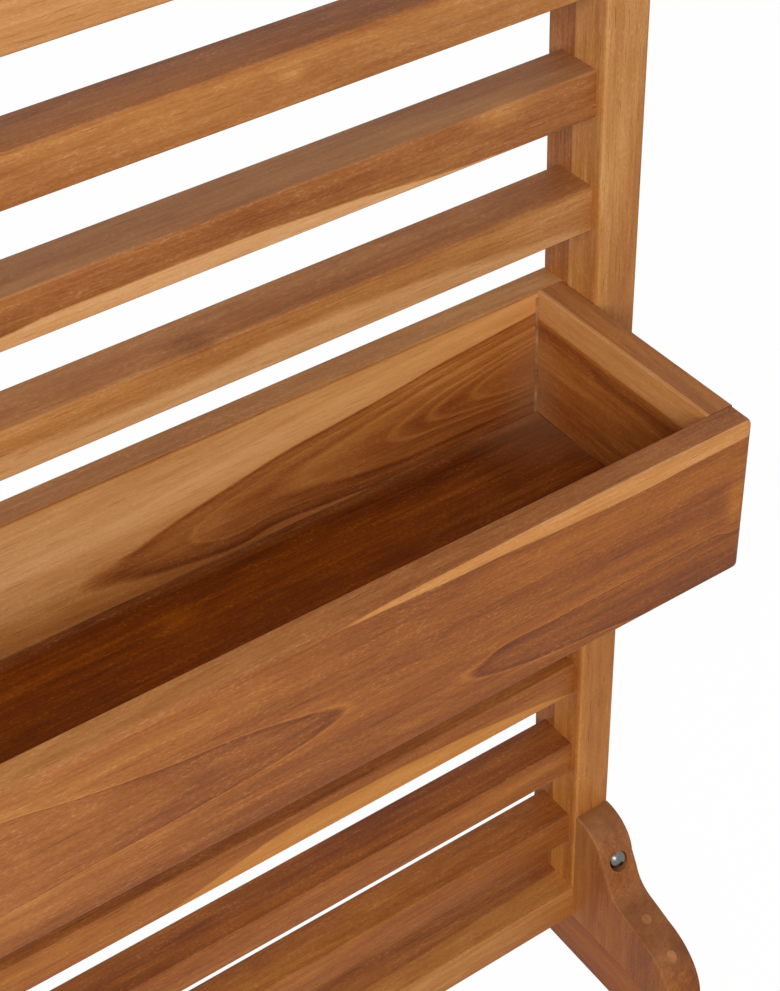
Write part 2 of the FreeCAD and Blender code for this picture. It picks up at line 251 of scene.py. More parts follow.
# The words of the table of boards, and what a board has where the table says nothing
PLAIN_BOARD = dict(
    laid="across",                          # how the board lies
    corner=ORIGIN,                          # where its own axes start
    heart=((-450, 60, 60), (450, 60, 60)),  # the heart's line: along, across, depth
    figure=((0, 0.5), (128, 0.5)),          # by distance from the heart: tone, share of sapwood
    tone=0.0,                               # how much lighter the whole board is
    drift=ORIGIN,                           # change of tone for each mm along, across and in
    rings=0.10,                             # strength of the growth rings
    wave=0.5,                               # how much they wander
    sap=None,                               # the sapwood's edge: along, limit
    sap_way=(1, 0),                         # what the limit counts of the way across and in
    sap_share=1.0,                          # how much of the sapwood's colour shows
    sap_soft=2.1,                           # width of its soft edge
    sap_tone=0.0,                           # how much lighter it is
    sap_skin=1000.0,                        # how deep the figure's own tone and sapwood go
    sap_fade=None,                          # across the face, where the figure's sapwood fades
    core_tone=0.0,                          # how much lighter the wood is below that skin
    tint="#FFFFFF",                         # what the oil lends the wood
    tint_run=(-10000, -9000),               # along the board, where the tint starts and is full
    tint_sap=1.0,                           # its share in the sapwood
    tint_core=0.0,                          # its share below the skin
    knot=ORIGIN,                            # a knot's place
    knot_size=0.0,
    knot_shape=(0.55, 1.0, 0.4),            # how quickly it ends along, across and in
    knot_fan=1.0,                           # strength of the rays that fan out from it
    knot_tone=-0.3,                         # how much lighter it is
    silver=0.36,                            # how strongly a painted sheen greys the faces that look up
    gloss=0.35,                             # how much of the light a face mirrors
    film=None,                              # where wiped glue has left a film
    film_reach=0.0,
    seed=1,                                 # which part of the wood's patterns it shows
)

BOARDS = {
    "planter_front_board": dict(
        heart=((-450, 52, 22), (-340, 56, 33), (-203, 64, 44.7), (-168, 67.5, 49), (-108, 72.5, 53.3),
               (-33, 75.5, 56.4), (17, 78, 59), (39.5, 79, 60), (95, 95, 61.5), (152, 110, 60),
               (177, 110, 58.7), (217, 113.7, 57.8), (267, 116, 56.9), (347, 122, 54.8), (450, 125, 53)),
        figure=((40, .40), (43, .46), (50, .48), (56, .46), (59, .43), (59.9, .29), (60.2, .72),
                (60.7, .55), (66, .50), (79, .48), (93.6, .46), (104, .44)),
        sap=((-450, -8), (-60, 1), (20, 3.2), (50, 4), (90, 5.6), (132, 7.8), (175, 8.8), (237, 12.2),
             (308, 14.2), (356, 13.3), (450, 12)),
        # its drift darkens it to the right and towards its foot: painted falloff of the softbox light from
        # the left
        sap_way=(1, 3), sap_tone=0.16, sap_skin=3.5, core_tone=0.15, drift=(-0.00026, -0.0007, 0.0),
        tint="#FFF098", tint_run=(-420, 330), tint_sap=0.2, tone=0.015, rings=0.02, wave=0.22,
        knot=(399, 70, 0), knot_size=8.0, knot_shape=(0.75, 0.34, 0.5), knot_fan=0.8, knot_tone=0.28,
        silver=0.12, seed=3),
    "planter_back_board": dict(
        heart=((-450, 95, 84), (-200, 93, 78), (-33, 91, 70), (-8, 92, 69.3), (42, 90.5, 66),
               (92, 88, 62.6), (122, 83, 62), (142, 81.5, 61), (192, 81, 58), (242, 80, 54.6),
               (292, 76, 51.9), (317, 75, 50.7), (367, 73, 48), (450, 71, 45)),
        figure=((44, .48), (48, .50), (50.2, .54), (50.6, .70), (51, .42), (52.2, .50), (52.7, .72),
                (53.1, .42), (54.3, .50), (54.8, .72), (55.3, .42), (58, .52), (60.6, .66), (62, .36),
                (63.6, .46), (64.9, .50), (65.3, .64), (65.7, .40), (68, .44), (69.5, .26),
                (70.5, .64, 1), (73, .70, 1), (84, .78, 1), (88, .64, .85), (89, .74, .7),
                (100, .70, .55), (112, .56, .3), (124, .50, .2)),
        # its drift darkens it towards its foot: painted shade near the trough's floor, over wood that is
        # darker there too
        sap_skin=1.0, sap_fade=(45, 92), core_tone=-0.30, drift=(0.0, -0.0026, 0.0), tint="#FFECC8",
        tint_run=(-200, 330), tone=0.26, rings=0.05, wave=0.18, silver=0.2, film=(385, 105, 0),
        film_reach=48, seed=7),
    "planter_floor_board": dict(
        # its low tone is partly painted shade on the trough's deep floor, which the walls keep from the
        # light
        heart=((-450, -70, 120), (450, -60, 90)), tone=-0.24, tint="#FADD30", tint_run=(620, 150),
        sap_skin=205.0, core_tone=0.12, knot=(10, 0, 170), knot_size=9.0, knot_shape=(0.55, 0.4, 0.8),
        knot_tone=0.14, silver=0.0, gloss=0.2, film=(385, 0, 211), film_reach=95, seed=11),
    "planter_right_end_board": dict(
        laid="forward", heart=((-50, 120, 30), (250, 118, 34)),
        figure=((0, .46), (40, .46), (60, .56), (78, .52), (84, .36), (92, .44), (96, .54), (128, .50)),
        sap=((-50, 27), (250, 29)), sap_way=(1, 8), sap_share=0.75, sap_soft=4.0, sap_tone=0.12,
        drift=(0.0, -0.0004, 0.0), tint="#FFF4D0", tint_sap=0.1, tone=0.04, rings=0.08, silver=0.2,
        film=(0, 105, 0), film_reach=42, seed=13),
    "planter_left_end_board": dict(laid="forward", heart=((-50, 40, -50), (250, 60, -44)), seed=17),
    "right_post": dict(
        laid="upright", corner=(410, 22.5, 0),
        heart=((0, 24, 98), (500, 20, 101), (1000, 18, 100), (1800, 24, 98)),
        figure=((0, .44), (40, .46), (64.5, .42), (66, .74), (83, .70), (86, .57), (96, .61),
                (98.5, .70), (110, .72), (128, .6)),
        tint="#FFF2C8", tint_run=(1100, 500), rings=0.05, seed=19),
    "left_post": dict(
        laid="upright", corner=(-450, 22.5, 0), heart=((0, 80, 40), (900, 70, 66), (1800, 84, 50)),
        tone=0.08, seed=23),
    "right_base_bar": dict(
        laid="forward", corner=(410, 92.5, 60), heart=((-100, 90, 20), (400, 70, 28)), tone=-0.06,
        tint="#FFE880", silver=0.1, seed=29),
    "left_base_bar": dict(
        laid="forward", corner=(-450, 92.5, 60), heart=((-100, -40, 24), (400, -52, 10)), tint="#FFF4CC",
        seed=31),
    "right_foot_bracket": dict(
        laid="upright", corner=(410, 22.5, 60), heart=((0, -40, 110), (200, -40, 110)),
        figure=((100, .34, .5), (116, .34, .5), (139, .33, .5), (145, .47), (280, .46)),
        drift=(0.0, 0.0, 0.0011), tint="#FFEE98", tint_run=(165, 40), tint_sap=0.0, tone=0.05,
        rings=0.06, silver=0.1, seed=37),
    "left_foot_bracket": dict(
        laid="upright", corner=(-450, 22.5, 60), heart=((0, 70, -40), (200, 76, -10)), tint="#FFF4CC",
        silver=0.1, seed=41),
    "bottom_rail": dict(
        heart=((-450, 30, -34), (190, 30, -42), (390, 30, -36), (450, 30, -34)),
        # the figure's dark band, 25 to 55 mm back on the top face, is painted shadow of the slats above
        figure=((0, .70), (60, .68), (70, .58), (72, .40), (84, .46), (96, .38), (99, .56), (128, .54)),
        tint="#FFF6DC", tone=0.045, rings=0.06, silver=0.0, seed=43),
    "top_rail": dict(heart=((-450, 50, 90), (450, 64, 70)), seed=47),
    "upper_slat_1": dict(
        heart=((-450, 64, 44), (-60, 60, 36), (61, 58, 32), (450, 74, 52)),
        sap=((-450, -8), (-200, -10), (-110, -16), (-20, -20), (61, -19), (120, -14), (240, -15),
             (333, -24), (450, -38)),
        sap_way=(-1, 1.2), sap_share=0.8, sap_soft=9.0, sap_tone=0.08, sap_skin=1.2, core_tone=-0.16,
        knot=(61, 1, 1), knot_size=8.0, knot_tone=-0.13, tone=0.20, rings=0.05, silver=0.16, seed=53),
    "upper_slat_2": dict(
        heart=((-450, -30, 40), (0, -34, 30), (450, -28, 60)),
        sap=((-450, -33), (-75, -28), (-44, -25), (10, -25), (95, -25), (150, -27), (205, -30),
             (261, -35), (361, -40), (450, -46)),
        sap_way=(-1, 0.1), sap_tone=0.28, knot=(322, 5, 0), knot_size=10.0, knot_shape=(0.42, 1.0, 0.9),
        knot_fan=0.3, knot_tone=0.26, rings=0.05, seed=59),
    "upper_slat_3": dict(
        heart=((-450, 70, 60), (0, 52, 40), (450, 60, 30)), drift=(0.0, 0.0, -0.004), sap_skin=1.2,
        core_tone=-0.17, knot=(150, 17, -3), knot_size=6.0, knot_fan=0.3, knot_tone=0.2, tone=0.14,
        rings=0.05, silver=0.1, seed=61),
    "upper_slat_4": dict(
        heart=((-450, -40, 10), (450, -24, 44)), sap=((-450, -4), (450, -4)), sap_way=(-1, 2),
        sap_share=0.5, tone=0.10, rings=0.07, seed=67),
    "upper_slat_5": dict(heart=((-450, 66, -30), (450, 48, -20)), seed=71),
    "upper_slat_6": dict(heart=((-450, -30, 70), (450, -52, 50)), seed=73),
    "upper_slat_7": dict(heart=((-450, 60, 20), (450, 80, 44)), seed=79),
    "upper_slat_8": dict(heart=((-450, -60, 30), (450, -40, 10)), seed=83),
    "lower_slat_1": dict(heart=((-450, 90, 40), (450, 70, 20)), tone=-0.04, seed=89),
    "lower_slat_2": dict(
        heart=((-450, -40, 66), (450, -60, 40)), tone=-0.02, sap_skin=1.2, core_tone=-0.08, seed=97),
    "lower_slat_3": dict(
        heart=((-450, -50, 20), (450, -44, 40)), sap_skin=1.2, core_tone=-0.02,
        sap=((-450, -46), (-41, -39), (-11, -33), (18, -27), (47, -21), (77, -15), (106, -13),
             (135, -12), (165, -12.5), (224, -14), (282, -18), (312, -22), (341, -26), (371, -30),
             (400, -36), (450, -44)),
        sap_way=(-1, 0.3), seed=101),
    "lower_slat_4": dict(heart=((-450, 70, 60), (450, 60, 30)), seed=103),
    "lower_slat_5": dict(heart=((-450, 50, -40), (450, 70, -30)), seed=107),
}
# the lower slats get a warmer tint all through and none of the painted top sheen
for board in LOWER_SLATS:
    BOARDS[board].update(tint="#FFF2C0", tint_core=1.0, silver=0.0)
for board, features in BOARDS.items():
    low, high = (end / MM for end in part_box(board))
    start = (low.x, high.y, high.z) if "laid" in features else (0, low.y, high.z)
    features.setdefault("corner", start)


def growth_group():
    """Distance from the heart at each point of a board, wavy along the grain and bent round a knot."""
    tree, given, result = new_group("teak_growth", "ShaderNodeTree", dict(
        Board=ORIGIN, Seed=0.0, Heart_Across=60.0, Heart_Depth=60.0, Wave=0.5, Knot_Place=ORIGIN,
        Knot_Size=0.0, Knot_Shape=(0.55, 1.0, 0.4), Knot_Fan=1.0,
    ), dict(Radius="Float", Knot="Float", Lookup="Vector"))
    # each seed looks up another part of the wood
    shift = add(tree, "VectorMath SCALE", (431.0, 97.3, 61.7), given.seed)
    lookup = add(tree, "VectorMath ADD", given.board, shift)
    _, across, depth = add(tree, "SeparateXYZ", given.board).outputs
    across = add(tree, "Math SUBTRACT", across, given.heart_across)
    depth = add(tree, "Math SUBTRACT", depth, given.heart_depth)
    arm = add(tree, "CombineXYZ", 0.0, across, depth)
    reach = add(tree, "VectorMath LENGTH", arm)
    long, wide = SWAY
    sway_at = add(tree, "VectorMath MULTIPLY", lookup, (1 / long, 1 / wide, 1 / wide))
    # a noise takes its place, scale, detail and roughness
    sway = add(tree, "TexNoise", sway_at, 1.0, 2.0, 0.55)
    sway = add(tree, "Math SUBTRACT", sway, 0.5)
    wave = add(tree, "Math MULTIPLY", given.wave, 4.0)
    wavy = add(tree, "Math MULTIPLY_ADD", sway, wave, reach)
    # a knot's pull falls off with distance, longer along the grain than across it
    from_knot = add(tree, "VectorMath SUBTRACT", given.board, given.knot_place)
    squeezed = add(tree, "VectorMath MULTIPLY", from_knot, given.knot_shape)
    away = add(tree, "VectorMath LENGTH", squeezed)
    size = add(tree, "Math MAXIMUM", given.knot_size, 0.001)
    sizes_away = add(tree, "Math DIVIDE", away, size)
    square = add(tree, "Math POWER", sizes_away, 2.0)
    minus = add(tree, "Math MULTIPLY", square, -1.0)
    pull = add(tree, "Math EXPONENT", minus)
    lift = add(tree, "Math MULTIPLY", pull, given.knot_size)
    radius = add(tree, "Math MULTIPLY_ADD", lift, KNOT_LIFT, wavy)
    # pale and dark rays fan out from it
    outward = add(tree, "VectorMath NORMALIZE", squeezed)
    spread = add(tree, "VectorMath ADD", outward, squeezed)
    fan = add(tree, "TexNoise", spread, 1.6, 3.0, 0.6)
    fan = add(tree, "Math MULTIPLY_ADD", fan, 4.0, -2.0)
    fan = add(tree, "Math MULTIPLY_ADD", fan, given.knot_fan, 1.0)
    knot = add(tree, "Math MULTIPLY", fan, pull)
    feed(result, radius, knot, lookup)
    return tree


def finish_group():
    """Teak's colour, roughness and height from the growth, the fibres, the pores, the wear and a painted
    sheen on the faces that look up.
    """
    tree, given, result = new_group("oiled_teak_finish", "ShaderNodeTree", dict(
        Lookup=ORIGIN, Radius=60.0, Figure=0.5, Sap=0.0, Knot=0.0, Tone=0.0, Rings=0.1, Ring_Spacing=6.2,
        Fibre_Length=3.6, Fibre_Width=1.2, Along=(1.0, 0.0, 0.0), Tint=WHITE, Wear=0.1, Sheen=0.52,
        Knot_Tone=-0.3, Silver=0.36, Tint_Share=1.0,
    ), dict(Colour="Color", Roughness="Float", Height="Float"))
    smooth = {"interpolation_type": "SMOOTHSTEP"}
    mixing = {"data_type": "RGBA"}
    look = bpy.context.scene.trellis_teak
    along, across, inward = add(tree, "SeparateXYZ", given.lookup).outputs

    # the patterns, each stretched along the grain; the layers follow the distance from the heart
    ways = zip((along, given.radius, across), LAYER)
    layer_at = add(tree, "CombineXYZ", *[add(tree, "Math MULTIPLY", way, 1 / size) for way, size in ways])
    pattern = {"layer": add(tree, "TexNoise", layer_at, 1.0, 3.0, 0.6)}
    for name, (long, wide), roughness in (
            ("streak", STREAK, 0.5), ("mottle", MOTTLE, 0.6), ("broad", BROAD, 0.5), ("pore", PORE, 0.5)):
        place = add(tree, "VectorMath MULTIPLY", given.lookup, (1 / long, 1 / wide, 1 / wide))
        pattern[name] = add(tree, "TexNoise", place, 1.0, 2.0, roughness)
    sizes = (given.fibre_length, given.fibre_width, given.fibre_width)
    ways = zip((along, across, inward), sizes)
    fibre_at = add(tree, "CombineXYZ", *[add(tree, "Math DIVIDE", way, size) for way, size in ways])
    pattern["fibre"] = add(tree, "TexNoise", fibre_at, 1.0, 2.0, 0.62)

    # open fibres are short pale strokes that come in patches; pores run on into dark lines
    stroke = add(tree, "MapRange", pattern["fibre"], 0.53, 0.68, 0.0, 1.0, **smooth)
    patch = add(tree, "MapRange", pattern["mottle"], 0.46, 0.66, 0.12, 1.0)
    stroke = add(tree, "Math MULTIPLY", stroke, patch)
    pore = add(tree, "MapRange", pattern["pore"], 0.60, 0.76, 0.0, 1.0, **smooth)

    # growth rings of uneven width
    drift_at = add(tree, "VectorMath MULTIPLY", layer_at, (0.5, 0.09, 0.5))
    drift = add(tree, "TexNoise", drift_at, 1.0, 1.0)
    turns = add(tree, "Math DIVIDE", given.radius, given.ring_spacing)
    turns = add(tree, "Math MULTIPLY_ADD", drift, 3.0, turns)
    phase = add(tree, "Math FRACT", turns)
    profile = add(tree, "ValToRGB", phase)
    set_stops(profile, [(place, (shade, shade, shade, 1.0)) for place, shade in RING])
    ring = add(tree, "Math SUBTRACT", profile, 0.5)

    # all of it on one scale, from the darkest streak at 0 to the palest heartwood at 1
    tone = add(tree, "Math ADD", given.figure, given.tone)
    tone = add(tree, "Math MULTIPLY_ADD", ring, given.rings, tone)
    for name, weight in WEIGHTS.items():
        level = add(tree, "Math SUBTRACT", pattern[name], 0.5)
        tone = add(tree, "Math MULTIPLY_ADD", level, weight, tone)
    tone = add(tree, "Math MULTIPLY_ADD", pore, PORE_TONE, tone)
    tone = add(tree, "Math MULTIPLY_ADD", given.knot, given.knot_tone, tone)
    heart = add(tree, "ValToRGB", tone)
    set_stops(heart, ((0.0, look.heart_darkest), (0.28, look.heart_dark), (0.5, look.heart),
                      (0.72, look.heart_light), (1.0, look.heart_palest)))
    sapwood = add(tree, "ValToRGB", tone)
    set_stops(sapwood, ((0.0, look.sap_dark), (0.5, look.sap), (1.0, look.sap_pale)))
    wood = add(tree, "Mix", given.sap, heart, sapwood, **mixing)
    for mark, strength, shade in (
            (stroke, FIBRE_SHARE, look.fibre), (pore, PORE_SHARE, look.heart_darkest)):
        mark = add(tree, "Math MULTIPLY", mark, strength)
        wood = add(tree, "Mix", mark, wood, shade, **mixing)
    wood = add(tree, "Mix", given.tint_share, wood, given.tint, blend_type="MULTIPLY", **mixing)

    # end grain drinks more oil and darkens
    normal = add(tree, "NewGeometry").outputs["Normal"]
    facing = add(tree, "VectorMath DOT_PRODUCT", normal, given.along)
    facing = add(tree, "Math ABSOLUTE", facing)
    end_grain = add(tree, "MapRange", facing, 0.6, 0.95, 0.0, 0.45)
    wood = add(tree, "Mix", end_grain, wood, linear("#6E3C18"), **mixing)
    # painted sheen: faces that look up are greyed, standing in for the light their tops mirror
    up = add(tree, "SeparateXYZ", normal).outputs[2]
    upward = add(tree, "MapRange", up, 0.5, 0.95, 0.0, 1.0)
    painted_sheen = add(tree, "Math MULTIPLY", upward, given.silver)
    painted_sheen = add(tree, "Math MULTIPLY", painted_sheen, pattern["broad"])
    wood = add(tree, "Mix", painted_sheen, wood, linear("#A28A6C"), **mixing)
    # arrises, which face none of the three ways squarely, are rubbed pale
    bare = add(tree, "VectorMath ABSOLUTE", normal)
    aside, deep, up = add(tree, "SeparateXYZ", bare).outputs
    flat = add(tree, "Math MAXIMUM", aside, deep)
    flat = add(tree, "Math MAXIMUM", flat, up)
    arris = add(tree, "MapRange", flat, 0.985, 0.86, 0.0, 1.0)
    rubbed = add(tree, "Math MULTIPLY", arris, pattern["broad"])
    rubbed = add(tree, "Math MULTIPLY", rubbed, given.wear)
    wood = add(tree, "Mix", rubbed, wood, linear("#C9A37A"), **mixing)

    rough = add(tree, "Math MULTIPLY_ADD", pattern["layer"], 0.16, given.sheen)
    rough = add(tree, "Math MULTIPLY_ADD", pore, 0.12, rough)
    raised = add(tree, "Math MULTIPLY_ADD", pore, -0.8, pattern["fibre"])
    raised = add(tree, "Math MULTIPLY_ADD", pattern["layer"], 0.6, raised)
    feed(result, wood, rough, raised)
    return tree


def teak(name, **features):
    """Oiled teak, sawn, sanded and rubbed with oil: golden brown, with fine open fibres and a low sheen."""
    own = SimpleNamespace(**{**PLAIN_BOARD, **features})
    look = bpy.context.scene.trellis_teak
    growth = bpy.data.node_groups.get("teak_growth") or growth_group()
    finish = bpy.data.node_groups.get("oiled_teak_finish") or finish_group()
    material, tree, surface = new_material("oiled_teak_" + name)
    turn = Matrix(LAID[own.laid])
    start = turn @ Vector(own.corner)
    place = add(tree, "TexCoord").outputs["Object"]
    board = add(tree, "Mapping", place, tuple(-start), tuple(turn.to_euler()), (1 / MM, 1 / MM, 1 / MM))
    along, across, inward = add(tree, "SeparateXYZ", board).outputs

    # three curves along the board: where the heart lies across and in, and the sapwood's edge
    run = RUN[own.laid]
    way = add(tree, "Math DIVIDE", along, run)
    lines = add(tree, "VectorCurve", Vector=add(tree, "CombineXYZ", way, way, way))
    lines.mapping.use_clip = False
    lines.mapping.extend = "HORIZONTAL"
    heart_across = [(u, v) for u, v, w in own.heart]
    heart_depth = [(u, w) for u, v, w in own.heart]
    no_sap = ((-450, -190), (450, -190))
    for curve, line in zip(lines.mapping.curves, (heart_across, heart_depth, own.sap or no_sap)):
        points = [(u / run, value / CURVE_REACH) for u, value in line]
        curve.points[0].location = points[0]
        curve.points[-1].location = points[-1]
        for point in points[1:-1]:
            curve.points.new(*point)
    lines.mapping.update()
    heart_across, heart_depth, limit = add(tree, "SeparateXYZ", lines).outputs
    grown = add(
        tree, "Group", node_tree=growth, Board=board, Seed=own.seed, Wave=own.wave,
        Heart_Across=add(tree, "Math MULTIPLY", heart_across, CURVE_REACH),
        Heart_Depth=add(tree, "Math MULTIPLY", heart_depth, CURVE_REACH),
        Knot_Place=own.knot, Knot_Size=own.knot_size, Knot_Shape=own.knot_shape,
        Knot_Fan=own.knot_fan).outputs

    # the figure by distance from the heart: its tone in red, its share of sapwood in green
    first, last = own.figure[0][0], own.figure[-1][0]
    reach = add(tree, "MapRange", grown["Radius"], first, last, 0.0, 1.0)
    drawn = add(tree, "ValToRGB", reach)
    stops = []
    for distance, tone, *sapwood in own.figure:
        place = (distance - first) / (last - first)
        stops.append((place, (tone, sapwood[0] if sapwood else 0.0, 0.0, 1.0)))
    set_stops(drawn, stops)
    figure, pale, _ = add(tree, "SeparateColor", drawn).outputs
    # that sapwood lies in the face's first millimetres
    skin_start = max(own.sap_skin / 2, own.sap_skin - SKIN_SOFT)
    skin = add(tree, "MapRange", inward, skin_start, own.sap_skin, 1.0, 0.0)
    if own.sap_skin < THIN_SKIN:
        below = add(tree, "MapRange", across, 1.0, 4.0, 0.0, 1.0)
        skin = add(tree, "Math MULTIPLY", skin, below)
    pale = add(tree, "Math MULTIPLY", pale, skin)
    if own.sap_fade:
        fade = add(tree, "MapRange", across, *own.sap_fade, 1.0, 0.0)
        pale = add(tree, "Math MULTIPLY", pale, fade)
    if own.sap:
        # sapwood up to an edge of its own, a little ragged
        weighed = add(tree, "VectorMath DOT_PRODUCT", board, (0.0, *own.sap_way))
        limit = add(tree, "Math MULTIPLY", limit, CURVE_REACH)
        inside = add(tree, "Math SUBTRACT", limit, weighed)
        long, wide = RAGGED
        ragged_at = add(tree, "VectorMath MULTIPLY", grown["Lookup"], (1 / long, 1 / wide, 1 / wide))
        ragged = add(tree, "TexNoise", ragged_at, 1.0, 2.0)
        inside = add(tree, "Math MULTIPLY_ADD", ragged, EDGE_STRAY, inside)
        edge = add(tree, "MapRange", inside, 0.5, 0.5 + own.sap_soft, 0.0, own.sap_share,
                   interpolation_type="SMOOTHSTEP")
        pale = add(tree, "Math MAXIMUM", edge, pale)

    slope = add(tree, "VectorMath DOT_PRODUCT", board, own.drift)
    tone = add(tree, "Math ADD", slope, own.tone + own.core_tone)
    tone = add(tree, "Math MULTIPLY_ADD", skin, -own.core_tone, tone)
    tone = add(tree, "Math MULTIPLY_ADD", pale, own.sap_tone, tone)
    spared = add(tree, "Math MULTIPLY_ADD", pale, own.tint_sap - 1.0, 1.0)
    reached = add(tree, "MapRange", skin, 0.0, 1.0, own.tint_core, 1.0)
    spared = add(tree, "Math MULTIPLY", spared, reached)
    warm = add(tree, "MapRange", along, *own.tint_run, 0.0, 1.0)
    warm = add(tree, "Math MULTIPLY", warm, spared)
    finished = add(
        tree, "Group", node_tree=finish, Lookup=grown["Lookup"], Radius=grown["Radius"], Knot=grown["Knot"],
        Figure=figure, Sap=pale, Tone=tone, Tint_Share=warm, Tint=linear(own.tint), Rings=own.rings,
        Ring_Spacing=look.ring_spacing / MM, Fibre_Length=look.fibre_length / MM,
        Fibre_Width=look.fibre_width / MM, Along=LAID[own.laid][0], Wear=look.arris_wear, Sheen=look.sheen,
        Knot_Tone=own.knot_tone, Silver=own.silver).outputs
    wood = finished["Colour"]
    if own.film:
        # glue wiped off a joint leaves a thin pale film round the corner, taller than it is wide
        squeezed = add(tree, "VectorMath MULTIPLY", board, (1.0, FILM_FLAT, 1.0))
        centre = (own.film[0], own.film[1] * FILM_FLAT, own.film[2])
        away = add(tree, "VectorMath DISTANCE", squeezed, centre)
        film = add(tree, "MapRange", away, 0.0, own.film_reach, FILM_SHARE, 0.0,
                   interpolation_type="SMOOTHSTEP")
        wood = add(tree, "Mix", film, wood, linear("#B28A66"), data_type="RGBA")
    bump = add(tree, "Bump", Strength=0.35, Distance=0.00025, Height=finished["Height"])
    feed(surface, Base_Color=wood, Roughness=finished["Roughness"], Normal=bump, IOR=1.46,
         Specular_IOR_Level=own.gloss)
    return material


def dress(node, material):
    """Gives a CAD node its finish."""
    for slot in NODES[node].material_slots:
        slot.material = material


def dress_boards(boards):
    """Gives each board teak of its own."""
    for board in boards:
        dress(board, teak(board, **BOARDS[board]))
    return {"FINISHED"}


class TRELLIS_OT_frame_boards(bpy.types.Operator):
    """Teak on the posts and rails, each board with its own heart line"""

    bl_idname = "trellis.frame_boards"
    bl_label = "Posts and rails"

    def execute(self, context):
        return dress_boards(("left_post", "right_post", "bottom_rail", "top_rail"))


class TRELLIS_OT_trough_boards(bpy.types.Operator):
    """Teak on the planter's five boards"""

    bl_idname = "trellis.trough_boards"
    bl_label = "Planter boards"

    def execute(self, context):
        return dress_boards(sorted(name for name in BOARDS if name.startswith("planter_")))


class TRELLIS_OT_feet(bpy.types.Operator):
    """Teak on the base bars and their brackets"""

    bl_idname = "trellis.feet"
    bl_label = "Feet"

    def execute(self, context):
        return dress_boards(("left_base_bar", "right_base_bar", "left_foot_bracket", "right_foot_bracket"))


# Slats and glue, in metres

SLAT_RINGS = 90         # along a slat, for its sanded faces
TENON_ARRIS = 0.0008
TENON_SEAT = 0.0002     # how far a tenon starts inside its slat
BEAD_SIDES = 8          # of a glue bead's section
BELOW_RIM = 0.006       # where the glue in a corner ends


def set_down(tree, given, result, shape):
    """The end of each geometry tree: the shape goes to its place, becomes real and gets its finish."""
    placed = add(tree, "Transform", Geometry=shape, Translation=given.centre)
    real = add(tree, "RealizeInstances", placed)
    feed(result, add(tree, "SetMaterial", Geometry=real, Material=given.finish))
    return tree


def slat_tree():
    """A slat swept along its length: rounded long edges, shouldered tenons and faces sanded by hand."""
    tree, given, result = new_group("teak_slat", "GeometryNodeTree", dict(
        Length=0.82, Height=0.04, Depth=0.043, Arris=0.002, Tenon=0.014, Shoulder=0.01, Sanding=0.00015,
        Centre=ORIGIN, Seed=1.0, Finish=None,
    ), dict(Slat="Geometry"))

    def sweep(start, start_side, end, end_side, width, height, arris, sections):
        """A rounded bar along X; its ends are distances from the middle and the sides that they are on."""
        ends = [add(tree, "CombineXYZ", add(tree, "Math MULTIPLY", distance, side))
                for distance, side in ((start, start_side), (end, end_side))]
        line = add(tree, "CurvePrimitiveLine", Start=ends[0], End=ends[1])
        line = add(tree, "ResampleCurve", Curve=line, Count=sections)
        face = add(tree, "CurvePrimitiveQuadrilateral", Width=width, Height=height)
        soft = add(tree, "FilletCurve", mode="POLY", Curve=face, Radius=arris, Count=4)
        return add(tree, "CurveToMesh", Curve=line, Profile_Curve=soft, Fill_Caps=True)

    half = add(tree, "Math MULTIPLY", given.length, 0.5)
    tip = add(tree, "Math ADD", half, given.tenon)
    root = add(tree, "Math SUBTRACT", half, TENON_SEAT)
    cut = add(tree, "Math MULTIPLY", given.shoulder, 2.0)
    thin = add(tree, "Math SUBTRACT", given.depth, cut)
    low = add(tree, "Math SUBTRACT", given.height, cut)
    body = sweep(half, -1.0, half, 1.0, given.depth, given.height, given.arris, SLAT_RINGS)
    right = sweep(root, 1.0, tip, 1.0, thin, low, TENON_ARRIS, 2)
    left = sweep(tip, -1.0, root, -1.0, thin, low, TENON_ARRIS, 2)
    # sanding takes a little more here than there, and never adds wood
    place = add(tree, "InputPosition")
    stretched = add(tree, "VectorMath MULTIPLY", place, (8.0, 30.0, 30.0))
    moved = add(tree, "VectorMath ADD", stretched, add(tree, "CombineXYZ", given.seed, given.seed))
    noise = add(tree, "TexNoise", moved, 1.0, 1.0)
    taken = add(tree, "Math MULTIPLY", noise, given.sanding)
    _, *sides = add(tree, "SeparateXYZ", place).outputs
    inward = []
    for side in sides:
        sign = add(tree, "Math SIGN", side)
        outward = add(tree, "Math MULTIPLY", sign, taken)
        inward.append(add(tree, "Math MULTIPLY", outward, -1.0))
    offset = add(tree, "CombineXYZ", 0.0, *inward)
    sanded = add(tree, "SetPosition", Geometry=body, Offset=offset)
    joined = add(tree, "JoinGeometry")
    for part in (left, right, sanded):
        feed(joined, part)
    return set_down(tree, given, result, joined)


def grow(name, tree, values, node):
    """Runs a tree once, keeps its result as a plain mesh piece and lets it stand for its CAD node."""
    holder = bpy.data.objects.new(name + "_holder", bpy.data.meshes.new(name + "_holder"))
    bpy.context.scene.collection.objects.link(holder)
    modifier = holder.modifiers.new(tree.name, "NODES")
    modifier.node_group = tree
    keys = {item.name: item.identifier for item in tree.interface.items_tree if item.in_out == "INPUT"}
    for label, value in values.items():
        modifier[keys[label]] = value
    bpy.context.view_layer.update()
    depsgraph = bpy.context.evaluated_depsgraph_get()
    mesh = bpy.data.meshes.new_from_object(
        holder.evaluated_get(depsgraph), preserve_all_data_layers=True, depsgraph=depsgraph)
    holder.modifiers.clear()
    bpy.data.objects.remove(holder)
    if not mesh.polygons:
        raise RuntimeError(name + " came out empty")
    mesh.name = name
    piece = bpy.data.objects.new(name, mesh)
    bpy.context.scene.collection.objects.link(piece)
    mesh.set_sharp_from_angle(angle=math.radians(50))
    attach(piece, "root")
    if node:
        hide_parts(node)
    return piece


